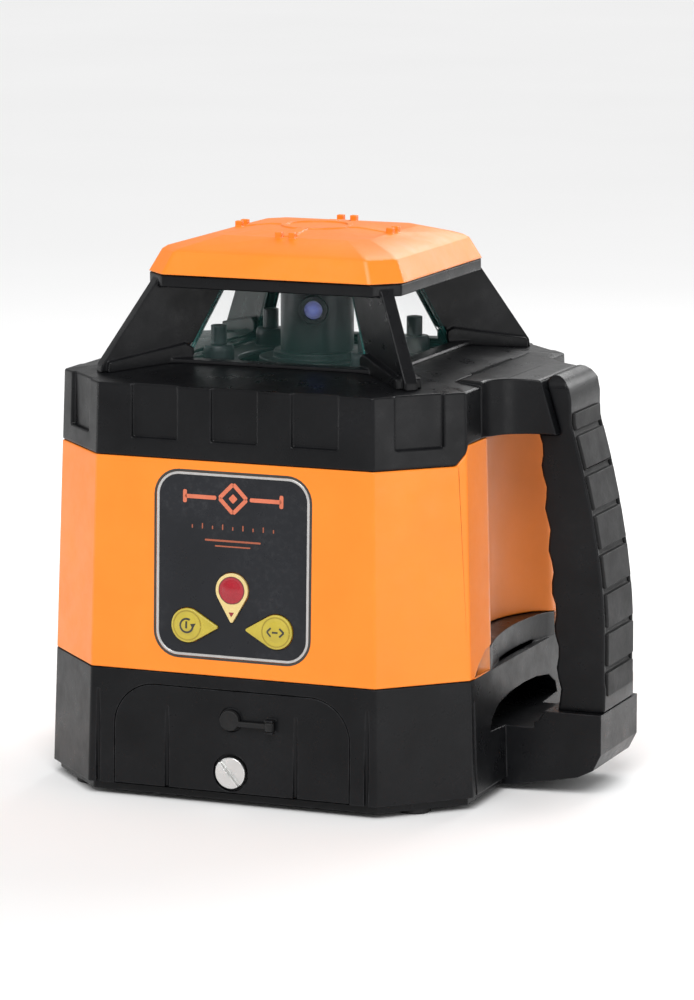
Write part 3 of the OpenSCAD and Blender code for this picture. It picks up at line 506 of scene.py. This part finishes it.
# Marks lie on the sloping front wall; u runs to the right and v up it, from the middle of the panel.
LEAN = math.radians(1.8)
PANEL_MID = 88.8
WALL_TOP = 127
FRONT = 80.5 + (WALL_TOP - PANEL_MID) * math.tan(LEAN)


def on_front(u, v, out):
    """A point on the front wall in metres: u, v along it and out from it, in mm."""
    y = -FRONT + v * math.sin(LEAN) - out * math.cos(LEAN)
    z = PANEL_MID + v * math.cos(LEAN) + out * math.sin(LEAN)
    return Vector((u, y, z)) * MM


def rounded(points, r, n=4):
    """Closed outline with its corners cut to short arcs."""
    out = []
    k = len(points)
    for i in range(k):
        p, a, b = Vector(points[i]), Vector(points[i - 1]), Vector(points[(i + 1) % k])
        t = min(r, (a - p).length * 0.45, (b - p).length * 0.45)
        s0, s1 = p + (a - p).normalized() * t, p + (b - p).normalized() * t
        for j in range(n + 1):
            w = j / n
            out.append((s0 * (1 - w) ** 2 + p * 2 * w * (1 - w) + s1 * w * w)[:])
    return out


def bar(x0, y0, x1, y1, w):
    """A straight stroke as an outline."""
    d = Vector((x1 - x0, y1 - y0)).normalized() * (w / 2)
    n = Vector((-d.y, d.x))
    e = [Vector((x0, y0)), Vector((x1, y1))]
    return rounded([(e[0] - n)[:], (e[1] - n)[:], (e[1] + n)[:], (e[0] + n)[:]], w * 0.45)


def arc(cx, cy, r, w, a0, a1, n=28):
    """A curved stroke as an outline."""
    t = [math.radians(a0 + (a1 - a0) * i / n) for i in range(n + 1)]
    return [(cx + (r + w / 2) * math.cos(a), cy + (r + w / 2) * math.sin(a)) for a in t] + [
        (cx + (r - w / 2) * math.cos(a), cy + (r - w / 2) * math.sin(a)) for a in reversed(t)]


def stroke(x0, y0, x1, y1, w, n=6):
    """A straight stroke with points all along it, so that it can follow a dome."""
    a, b = Vector((x0, y0)), Vector((x1, y1))
    side = Vector((a.y - b.y, b.x - a.x)).normalized() * (w / 2)
    line = [a + (b - a) * i / n for i in range(n + 1)]
    return [(q - side)[:] for q in line] + [(q + side)[:] for q in reversed(line)]


def print_mark(name, outlines, low, high, mat, body, slot_name, dome=None):
    """Thin raised ink, one closed prism for each outline; on a key's dome it follows the dome."""
    bm = bmesh.new()
    for pts in outlines:
        def rise(u, v):
            if not dome:
                return 0
            over = math.sqrt(DOME_R ** 2 - (u - dome[0]) ** 2 - (v - dome[1]) ** 2)
            return max(0, over - DOME_DEPTH - HEAD)
        bottom = [bm.verts.new(on_front(u, v, low + rise(u, v))) for u, v in pts]
        top = [bm.verts.new(on_front(u, v, high + rise(u, v))) for u, v in pts]
        n = len(pts)
        for i in range(n):
            bm.faces.new((bottom[i], bottom[(i + 1) % n], top[(i + 1) % n], top[i]))
        bm.faces.new(list(reversed(bottom)))
        bm.faces.new(top)
    bmesh.ops.recalc_face_normals(bm, faces=bm.faces)
    mesh = bpy.data.meshes.new(name)
    bmesh.ops.triangulate(bm, faces=[f for f in bm.faces if len(f.verts) > 4])
    bm.to_mesh(mesh)
    bm.free()
    mesh.materials.append(mat)
    ob = bpy.data.objects.new(name, mesh)
    bpy.context.scene.collection.objects.link(ob)
    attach(ob, body)
    return ob


# A diamond on a level line, and a scale of short ticks under it
LINE_V = 25
LINE_END = 19
DIAMOND = 5.4
INK_W = 1.5
badge = [
    bar(-LINE_END, LINE_V, -6.6, LINE_V, INK_W), bar(6.6, LINE_V, LINE_END, LINE_V, INK_W),
    bar(0, LINE_V + DIAMOND, DIAMOND, LINE_V, INK_W), bar(DIAMOND, LINE_V, 0, LINE_V - DIAMOND, INK_W),
    bar(0, LINE_V - DIAMOND, -DIAMOND, LINE_V, INK_W), bar(-DIAMOND, LINE_V, 0, LINE_V + DIAMOND, INK_W),
    bar(-LINE_END, LINE_V - 2.4, -LINE_END, LINE_V + 2.4, INK_W),
    bar(LINE_END, LINE_V - 2.4, LINE_END, LINE_V + 2.4, INK_W),
    rounded([(0, LINE_V + 1.8), (-1.8, LINE_V), (0, LINE_V - 1.8), (1.8, LINE_V)], 0.4),
]
ticks = [bar(-16 + 4 * i, 13.4, -16 + 4 * i, 15.4 if i % 2 else 14.7, 0.45) for i in range(9)]
ticks += [bar(-11, 9.4, 11, 9.4, 0.7), bar(-7, 7.4, 7, 7.4, 0.5)]
# painted shadow: a thin black ink line round the panel rim stands in for the shade in the narrow gap there,
# drawn wider than the real joint
print_mark("panel_gap_shadow", [frame_line(62.1, 69.6, 9.8, 0.8)], -0.03, 0.06, INK, "case", "panel_film")
print_mark("panel_badge", badge, -0.22, -0.1, SALMON, "case", "panel_film")
print_mark("panel_ticks", ticks, -0.22, -0.12, SALMON_DIM, "case", "panel_film")

# where each key's round part is, on the wall
LEFT_AT = (-17.5, 66.2 - PANEL_MID)
RIGHT_AT = (17.5, 66.2 - PANEL_MID)
POWER_AT = (0, 80.3 - PANEL_MID)


def shifted(outlines, at):
    """Outlines drawn round 0, 0 carried to a place on the wall."""
    return [[(u + at[0], v + at[1]) for u, v in pts] for pts in outlines]


TURN_SIGN = [arc(0, 0, 2.5, 0.7, 60, 345), [(3.5, 0.9), (1.5, 0.7), (2.5, -1.1)], stroke(0, -1, 0, 1.6, 0.7)]
SCAN_W = 0.65
SCAN_SIGN = [
    stroke(-1.7, 1.6, -3.3, 0, SCAN_W), stroke(-3.3, 0, -1.7, -1.6, SCAN_W),
    stroke(1.7, 1.6, 3.3, 0, SCAN_W), stroke(3.3, 0, 1.7, -1.6, SCAN_W),
    stroke(-1.1, 0, 1.1, 0, SCAN_W),
]
RING = arc(0, 0, 5.4, 0.4, 0, 356)
TIP = rounded([(-1.1, -8.1), (0, -9.8), (1.1, -8.1)], 0.3)
FLAT_INK = (HEAD - 0.04, HEAD + 0.07)
for side, at, glyph in (("left", LEFT_AT, TURN_SIGN), ("right", RIGHT_AT, SCAN_SIGN)):
    name, body = side + "_key", "key_" + side
    print_mark(name + "_ring", shifted([RING], at), *FLAT_INK, OLIVE, body, "key_yellow")
    print_mark(name + "_sign", shifted(glyph, at), HEAD - 0.1, HEAD + 0.08, INK, body, "key_yellow", dome=at)
print_mark("power_key_tip", shifted([TIP], POWER_AT), *FLAT_INK, RED, "key_power", "key_red")

# ---------------------------------------------------------------- camera, light, floor

cam_data = bpy.data.cameras.new("camera")
cam = bpy.data.objects.new("camera", cam_data)
bpy.context.scene.collection.objects.link(cam)
AZ, EL = math.radians(21.9), math.radians(10.0)
DIST = 1.74
SEEN_WIDTH = 0.262  # width of what the camera takes in at the object
back = Vector((math.sin(AZ) * math.cos(EL), -math.cos(AZ) * math.cos(EL), math.sin(EL)))
target = Vector((0.012, 0.0, 0.101))
cam.location = target + back * DIST
cam.rotation_euler = back.to_track_quat("Z", "Y").to_euler()
cam_data.sensor_fit = "HORIZONTAL"
cam_data.sensor_width = 36
cam_data.lens = cam_data.sensor_width * DIST / SEEN_WIDTH
cam_data.clip_end = 20
bpy.context.scene.camera = cam


def area_light(name, loc, size, power, aim=(0, 0, 0.1), size_y=None):
    data = bpy.data.lights.new(name, "AREA")
    data.shape = "RECTANGLE"
    data.size = size
    data.size_y = size_y or size
    data.energy = power
    ob = bpy.data.objects.new(name, data)
    ob.location = loc
    ob.rotation_euler = (Vector(loc) - Vector(aim)).to_track_quat("Z", "Y").to_euler()
    bpy.context.scene.collection.objects.link(ob)


sun = bpy.data.lights.new("sky", "SUN")
sun.energy = 2.45
sun.angle = math.radians(40)
sun_ob = bpy.data.objects.new("sky", sun)
sun_ob.rotation_euler = Vector((0.22, -0.82, 0.95)).to_track_quat("Z", "Y").to_euler()
bpy.context.scene.collection.objects.link(sun_ob)
area_light("strip_right", (0.78, -0.34, 0.16), 0.26, 1.0, size_y=0.5)
area_light("strip_left", (-0.7, -0.34, 0.16), 0.08, 0.9, size_y=0.45)
area_light("rim", (0.75, 1.3, 0.55), 0.5, 5.0)
area_light("top", (0.1, 0.75, 0.75), 0.6, 4.6, aim=(0, 0, 0.16))

world = bpy.data.worlds.new("studio")
world.use_nodes = True
world.node_tree.nodes["Background"].inputs[0].default_value = (1, 1, 1, 1)
world.node_tree.nodes["Background"].inputs[1].default_value = 0.42
bpy.context.scene.world = world
bpy.context.scene.view_settings.view_transform = "Standard"

me = bpy.data.meshes.new("floor")
bm = bmesh.new()
bmesh.ops.create_grid(bm, x_segments=24, y_segments=24, size=12.0)
bm.to_mesh(me)
bm.free()
floor = bpy.data.objects.new("floor", me)
bpy.context.scene.collection.objects.link(floor)
floor_mat, floor_tree, floor_bsdf = new_material("floor")
floor_tc = floor_tree.nodes.new("ShaderNodeTexCoord")
mottle = noise(floor_tree, floor_tc.outputs["Object"], 3, 3)
pale = mix_rgb(floor_tree, mottle, (0.9, 0.9, 0.9), (0.94, 0.94, 0.94))
floor_tree.links.new(pale, floor_bsdf.inputs["Base Color"])
floor_bsdf.inputs["Roughness"].default_value = 0.7
me.materials.append(floor_mat)
